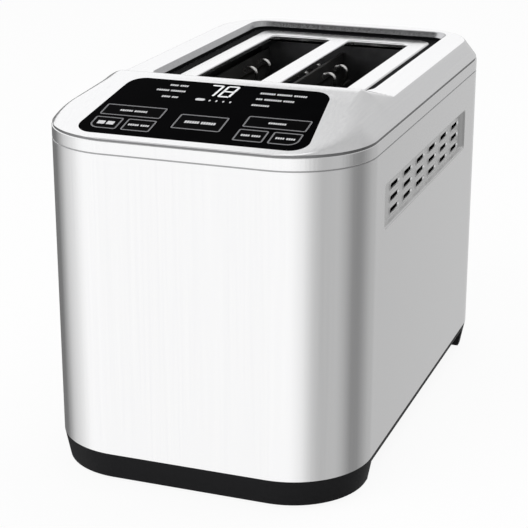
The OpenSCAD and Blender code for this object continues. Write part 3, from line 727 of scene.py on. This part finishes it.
def roof_of(y):
    """Height of the cover's roof: console slope, ridge, drop and flat rim."""
    if y < RIDGE_Y:
        return RIDGE_Z - (RIDGE_Y - y) * math.tan(TILT)
    drop_start = RIDGE_Y + RIDGE_FLAT
    if y < drop_start:
        return RIDGE_Z
    if y < CREASE_Y:
        return RIDGE_Z - (RIDGE_Z - RIM_Z) * (y - drop_start) / (CREASE_Y - drop_start)
    return RIM_Z


def cover_height(x, y):
    """Height of the cover's skin: leaning sides and roof, with a soft shoulder along the console."""
    rim_soft, console_soft, largest_share = 0.6, 16.0, 0.9
    flank = BAND_TOP + inset_of(x, y) * RIM_RISE / RIM_INSET
    roof = roof_of(y)
    console_part = min(max((CREASE_Y - y) / (CREASE_Y - RIDGE_Y), 0), 1)
    soft = min(rim_soft + (console_soft - rim_soft) * console_part, largest_share * (roof - BAND_TOP))
    blend = max(soft - abs(flank - roof), 0) / soft
    return min(flank, roof) - blend * blend * soft / 4


def panel_face(name, grow):
    """The control panel's outline on the slope, wider at the front, with round corners."""
    lean = math.atan((PANEL_FRONT - PANEL_REAR) / 2 / PANEL_L)
    outward, shift = grow / math.cos(lean), grow * math.tan(lean)
    front, rear = PANEL_FRONT / 2 + outward + shift, PANEL_REAR / 2 + outward - shift
    length = PANEL_L + 2 * grow
    piece = move(flat_face(name, (2 * front, length)), y=PANEL_L / 2 + PANEL_V)
    pick(piece, "VERT", lambda p: p.y > PANEL_V + 1)
    bpy.ops.transform.resize(value=(rear / front, 1, 1), center_override=(0, 0, 0))
    radius = PANEL_R + grow
    for rearward, half_angle in ((False, math.pi / 4 - lean / 2), (True, math.pi / 4 + lean / 2)):
        pick(
            piece,
            "VERT",
            lambda p: p.y > PANEL_V + PANEL_L - 1 if rearward else p.y < PANEL_V + 1,
        )
        bpy.ops.mesh.bevel(
            offset=radius / math.tan(half_angle) * MM, segments=12, profile=0.5, affect="VERTICES"
        )
    deselect()
    return piece


def top_cover():
    """The cover's skin: rings in from the outline, lines across the console, each point set to its height."""
    rings = [0.7, 1, 1.5, 2, 3, 4, 5, 6, 6.8, 7.3, 7.7, 8.0, 8.2, 8.4, 8.7, 9.1, 9.6, 10.3]
    rings += range(11, 22)
    line_pitch, line_count, sheet = 3, 35, 1.6
    size = (2 * (HALF_W - COVER_EDGE_IN), 2 * (HALF_L - COVER_EDGE_IN))
    cover = soft_face("top_cover_skin", size, CORNER_R - COVER_EDGE_IN, CORNER_STEPS)
    steps = [(outer - inner, 0) for inner, outer in zip([COVER_EDGE_IN] + rings, rings)]
    step_face(cover, steps, opened=False)
    lines = [FRONT_Y + line_pitch * (i + 1) for i in range(line_count)]
    lines += [RIDGE_Y, RIDGE_Y + RIDGE_FLAT, CREASE_Y]
    for y in lines:
        take(cover)
        bpy.ops.object.mode_set(mode="EDIT")
        bpy.ops.mesh.select_all(action="SELECT")
        bpy.ops.mesh.bisect(plane_co=(0, y * MM, 0), plane_no=(0, 1, 0))
    deselect()
    for vertex in cover.data.vertices:
        vertex.co.z = cover_height(vertex.co.x / MM, vertex.co.y / MM) * MM
    thicken(cover, sheet)
    cut(cover, settle(punch(panel_face("panel_opening", PANEL_GAP)), SLOPE))
    cut(cover, move(punch(soft_face("well_opening", WELL_SIZE, WELL_R, 16)), y=WELL_Y, z=RIM_Z))
    well_ring()
    complete(cover, "case", "brushed_steel", ["top_cover"], TOP_STEEL)


def well_ring():
    """The wall of the well, with a rolled upper edge, and the lip of the gasket on it."""
    wall_t, lip_t, lip_in, lip_z = 1.0, 0.4, 1.9, 205.7
    wall_steps = [(0.2, -0.05), (0.25, -0.2), (0.15, -0.45), (2.0, -4.2)]
    lip_steps = [(0.15, 0.15), (0.35, 0.05), (0.3, -0.25), (0.2, -1.6)]
    drop_left = GASKET_TOP - RIM_Z - sum(rise for _, rise in wall_steps)
    wall = soft_face("well_wall", WELL_SIZE, WELL_R, 16)
    step_face(wall, wall_steps + [(0.9, drop_left)])
    thicken(move(wall, y=WELL_Y, z=RIM_Z), wall_t)
    size = [side - 2 * lip_in for side in WELL_SIZE]
    lip = step_face(soft_face("well_gasket_lip", size, WELL_R - lip_in, 16), lip_steps)
    thicken(move(lip, y=WELL_Y, z=lip_z), lip_t)
    complete(lip, "case", "rubber")
    # The well's wall takes the steel painted greyer for the shade in the well
    complete(wall, "case", "brushed_steel", ["top_cover"], WELL_STEEL_PAINTED_SHADE)


def slot_plate():
    """The pressed plate in the well, with a turned-down edge and rolled lips round both slots."""
    sheet, skirt_h, lip = 0.7, 3.0, 0.8
    skirt_steps = [(0.02, 1.6), (0.25, 0.65), (0.45, 0.45), (0.7, 0.3)]
    lip_steps = [(0.35, -0.1), (0.22, -0.18), (0.14, -0.3), (0.07, -0.6), (0.02, -1.67)]
    skirt = step_face(soft_face("slot_plate_sheet", PLATE_SIZE, PLATE_R), skirt_steps)
    move(skirt, y=PLATE_Y, z=PLATE_Z - skirt_h)
    lips = []
    for side in (-1, 1):
        size = (SLOT_SIZE[0] + 2 * lip, SLOT_SIZE[1] + 2 * lip)
        slot = step_face(soft_face("slot_lip", size, SLOT_R + lip), lip_steps)
        lips.append(move(slot, side * SLOT_X, SLOT_Y, PLATE_Z))
    plate = fill_level(join([skirt] + lips), PLATE_Z)
    complete(thicken(plate, sheet), "case", "slot_steel", ["slot_plate"])


def bread_guide(place, x):
    """Upright wires between a pivot bar and a top bar; two more end in tips that arch over to the wall."""
    hook = -1 if place in ("left_outer", "right_inner") else 1
    front, rear = SLOT_Y - SLOT_SIZE[1] / 2, SLOT_Y + SLOT_SIZE[1] / 2
    first_wire, wire_pitch, wire_count, wire_r = 10, 25, 6, 1.0
    pivot_out, pivot_r, bar_in, bar_drop = 10, 1.5, 6, 14
    tip_places, half_arch, arch_h, leg, steps = (22, 47), 4.0, 3.4, 3, 12
    bar_z = GUIDE_TOP - bar_drop
    uprights = [front + first_wire + wire_pitch * i for i in range(wire_count)]
    lines = [[(x, y, PIVOT_Z), (x, y, bar_z)] for y in uprights]
    tips = []
    for y in [SLOT_Y + tip_place for tip_place in tip_places]:
        tip = []
        for step in range(steps + 1):
            angle = math.pi * step / steps
            rise = arch_h * (math.sin(angle) - 1)
            tip.append((x - hook * half_arch * math.cos(angle), y, GUIDE_TOP + rise))
        lines.append([(x, y, bar_z), (tip[0][0], y, tip[0][2] - leg), tip[0]])
        tips.append(tip)
    wires = tubes("guide_" + place + "_wires", lines, wire_r)
    pivot = tubes("pivot", [[(x, front - pivot_out, PIVOT_Z), (x, rear + pivot_out, PIVOT_Z)]], pivot_r)
    top_bar = tubes("top_bar", [[(x, front + bar_in, bar_z), (x, rear - bar_in, bar_z)]], wire_r)
    body, node = "guide_" + place + "_body", "guide_" + place
    # The wires take the plated wire painted dark for the shade deep in the slots
    complete(join([wires, pivot, top_bar]), body, "wire", [node])
    # The tips take the wire painted bright for the light at the top of the slots
    complete(tubes("guide_" + place + "_tips", tips, wire_r), body, "wire", [node], TIP_NICKEL_PAINTED_LIGHT)


# Printing on the control glass and the keys


def print_down(piece, body, material):
    """Lays a flat print on the slope as a thin film of ink, on the glass or on a key."""
    film, above_glass = 0.03, 0.02
    raise_face(piece, film, above_glass)
    slot = "black_glass" if body == "case" else "key_black"
    complete(settle(piece, SLOPE), body, slot, (), material)


def key_print(key, place):
    """The outline and the label printed on one key."""
    u, v, width, length, corner_side, words, letter = place
    margin, stroke, large_r, small_r = 0.3, 0.9, 5.6, 1.3
    corners = [large_r if corner_side == side else small_r for side in (-1, 1)] + [small_r, small_r]
    outline = soft_face(key + "_outline", (width - 2 * margin, length - 2 * margin), corners, 6)
    step_face(outline, [(stroke, 0)])
    print_down(move(outline, u, v), key + "_body", OUTLINE_INK)
    label_row(key + "_label", u, v, words, key + "_body", letter)


def label_row(name, u, v, words, body, letter=LETTER, align=0.5):
    """Plain blocks that stand for words of so many letters; align is the part of the row that stands at u."""
    gap, space, corner_r = 0.3, 0.9, 0.25
    pitch = letter[0] + gap
    u -= align * (sum(words) * pitch + (len(words) - 1) * space)
    stamp = soft_face("letter", letter, corner_r, 2)
    letters = []
    for count in words:
        for _ in range(count):
            letters.append(move(copy_of(stamp), u + pitch / 2, v))
            u += pitch
        u += space
    bpy.data.objects.remove(stamp)
    row = join(letters)
    row.name = name
    print_down(row, body, LABEL_INK)


def digit(name, lit, u, v):
    """A seven-segment digit that leans to the right; lit names its segments from a to g."""
    width, height, stroke, gap = 6.0, 12.4, 1.4, 0.25
    taper, lean = 0.45 * stroke, math.tan(math.radians(8))
    rows = {"a": height / 2, "g": 0.0, "d": -height / 2}
    uprights = {"f": (-1, 1), "b": (1, 1), "e": (-1, -1), "c": (1, -1)}
    segments = []
    for letter in lit:
        level = letter in rows
        length = (width if level else height / 2) - 2 * gap
        piece = soft_face("segment", (length + 2 * taper, stroke), taper, 1)
        if level:
            segments.append(move(piece, 0, rows[letter]))
        else:
            side, half = uprights[letter]
            settle(piece, Matrix.Rotation(math.pi / 2, 4, "Z"))
            segments.append(move(piece, side * width / 2, half * height / 4))
    number = join(segments)
    for vertex in number.data.vertices:
        vertex.co.x += vertex.co.y * lean
    number.name = name
    print_down(move(number, u, v), "case", DIGIT_INK)


def panel_print():
    """Digits, their marks and the lines of small print on the glass."""
    digit("display_digit_left", "abc", -7.2, 65.0)
    digit("display_digit_right", "abcdefg", 2.0, 65.0)
    level_mark = move(soft_face("display_level_mark", (5.4, 2.6), 1.0, 4), -10.4, 53.4)
    ticks = [move(soft_face("display_ticks", (0.9, 1.8), 0.3, 3), u, 53.0) for u in (-4.7, -0.8, 3.2, 7.2)]
    for marks in (level_mark, join(ticks)):
        print_down(marks, "case", LABEL_INK)
    left_lines = [(-22.8, 67.6, (4, 4)), (-22.0, 61.0, (6, 7)), (-23.4, 53.6, (4, 3))]
    right_lines = [(19.7, 66.4, (7, 7, 6)), (19.7, 59.4, (3, 8, 5)), (19.7, 52.2, (8,))]
    for side, lines, align in (("left", left_lines, 1.0), ("right", right_lines, 0.0)):
        for index, (u, v, words) in enumerate(lines):
            label_row("small_print_%s_%d" % (side, index), u, v, words, "case", align=align)


# Studio


def white_background():
    """A white world, dimmer for the light that it throws than for the eye and for reflections."""
    world = bpy.data.worlds.new("white_studio")
    bpy.context.scene.world = world
    world.use_nodes = True
    tree = world.node_tree
    ray = add(tree, "ShaderNodeLightPath")
    seen = add(
        tree,
        "ShaderNodeMath",
        {"operation": "MAXIMUM"},
        {0: ray.outputs["Is Camera Ray"], 1: ray.outputs["Is Glossy Ray"]},
    )
    shown = add(
        tree,
        "ShaderNodeMath",
        {"operation": "MAXIMUM"},
        {0: seen.outputs[0], 1: ray.outputs["Is Transmission Ray"]},
    )
    level = add(tree, "ShaderNodeMapRange", {"To Min": 0.55, "To Max": 1.0}, {"Value": shown.outputs[0]})
    tree.links.new(level.outputs["Result"], tree.nodes["Background"].inputs["Strength"])
    tree.nodes["Background"].inputs["Color"].default_value = (1, 1, 1, 1)


def paper_floor():
    """A floor of white paper, which the camera sees with only a faint shadow and reflections leave out."""
    deselect()
    bpy.ops.mesh.primitive_plane_add(size=FLOOR_SIZE)
    floor = bpy.context.object
    floor.name = "studio_floor"
    floor.visible_glossy = False
    material = bpy.data.materials.new("white_floor_paper")
    material.use_nodes = True
    tree = material.node_tree
    tree.nodes.remove(tree.nodes["Principled BSDF"])
    ray = add(tree, "ShaderNodeLightPath")
    seen = add(
        tree,
        "ShaderNodeMath",
        {"operation": "MULTIPLY", 1: 0.92},
        {0: ray.outputs["Is Camera Ray"]},
    )
    paper = add(tree, "ShaderNodeBsdfDiffuse", {"Color": linear("#f4f4f4")})
    glow = add(tree, "ShaderNodeEmission", {"Color": (1, 1, 1, 1), "Strength": 1.0})
    mixed = add(
        tree,
        "ShaderNodeMixShader",
        {},
        {0: seen.outputs[0], 1: paper.outputs[0], 2: glow.outputs[0]},
    )
    tree.links.new(mixed.outputs[0], tree.nodes["Material Output"].inputs["Surface"])
    floor.data.materials.append(material)


def soft_lamps():
    """Two large area lamps, in front on the left and above on the right."""
    for name, place, aim, size, power in (
        ("soft_box_front", (-0.9, -1.3, 1.5), (0, 0, 0.1), 1.4, 16),
        ("soft_box_top", (0.5, 0.6, 1.9), (0, 0, 0.1), 1.2, 12),
    ):
        lamp = bpy.data.lights.new(name, "AREA")
        lamp.energy = power
        lamp.size = size
        holder = bpy.data.objects.new(name, lamp)
        holder.location = place
        holder.visible_glossy = False
        holder.rotation_euler = (Vector(aim) - Vector(place)).to_track_quat("-Z", "Y").to_euler()
        bpy.context.scene.collection.objects.link(holder)


def photo_camera():
    """The camera at the photo's viewing angle."""
    camera = bpy.data.objects.new("camera", bpy.data.cameras.new("camera"))
    camera.data.lens = CAMERA_LENS
    camera.location = CAMERA_PLACE
    camera.rotation_euler = (math.pi / 2 - CAMERA_DOWN, 0, CAMERA_ASIDE)
    bpy.context.scene.collection.objects.link(camera)
    bpy.context.scene.camera = camera


def grey_cards(name, low, high, card_levels):
    """A ring of cards far round the object between two heights in metres, which only reflections show."""
    deselect()
    bpy.ops.mesh.primitive_cylinder_add(
        vertices=96,
        radius=CARD_RADIUS,
        depth=high - low,
        end_fill_type="NOTHING",
        location=(0, 0, (low + high) / 2),
    )
    ring = bpy.context.object
    ring.name = name
    settle(ring)
    for kind in ("camera", "diffuse", "transmission", "volume_scatter", "shadow"):
        setattr(ring, "visible_" + kind, False)
    material = bpy.data.materials.new(name)
    material.use_nodes = True
    tree = material.node_tree
    tree.nodes.remove(tree.nodes["Principled BSDF"])
    place = add(tree, "ShaderNodeTexCoord")
    turn = add(
        tree,
        "ShaderNodeTexGradient",
        {"gradient_type": "RADIAL"},
        {"Vector": place.outputs["Object"]},
    )
    ramp = add(tree, "ShaderNodeValToRGB", {}, {"Fac": turn.outputs["Fac"]})
    elements = ramp.color_ramp.elements
    while len(elements) > 1:
        elements.remove(elements[-1])
    for angle, level in card_levels:
        stop = elements.new((angle + 180) / 360)
        stop.color = (level, level, level, 1)
    elements.remove(elements[0])
    glow = add(tree, "ShaderNodeEmission", {"Strength": 1.0}, {"Color": ramp.outputs["Color"]})
    tree.links.new(glow.outputs[0], tree.nodes["Material Output"].inputs["Surface"])
    ring.data.materials.append(material)


def paint_frame():
    """Gives every piece that comes over from the frame its own finish, or else the one of its slot."""
    # The end plates take the zinc painted lighter as their highlight
    own_finish = {"well_gasket": FINISHES["rubber"], "front_plate": END_ZINC_PAINTED_HIGHLIGHT, "rear_plate": END_ZINC_PAINTED_HIGHLIGHT}
    for part in frame["record"]["subparts"]:
        node = frame["nodes"][part["node"]]
        node.data.materials.clear()
        node.data.materials.append(own_finish.get(part["node"], FINISHES[part["material_slot"]]))


paint_frame()
steel_wrap()
vent_panel("vent_panel_left", -1)
vent_panel("vent_panel_right", 1)
rear_panel()
crumb_tray()
tray_pull()
trim_band()
top_cover()
slot_plate()
for place, x in GUIDE_X.items():
    bread_guide(place, x)
for key, place in KEYS.items():
    key_print(key, place)
panel_print()
bpy.context.scene.view_settings.view_transform = "Standard"
white_background()
paper_floor()
for name, (low, high, card_levels) in CARD_RINGS.items():
    grey_cards(name, low, high, card_levels)
soft_lamps()
photo_camera()
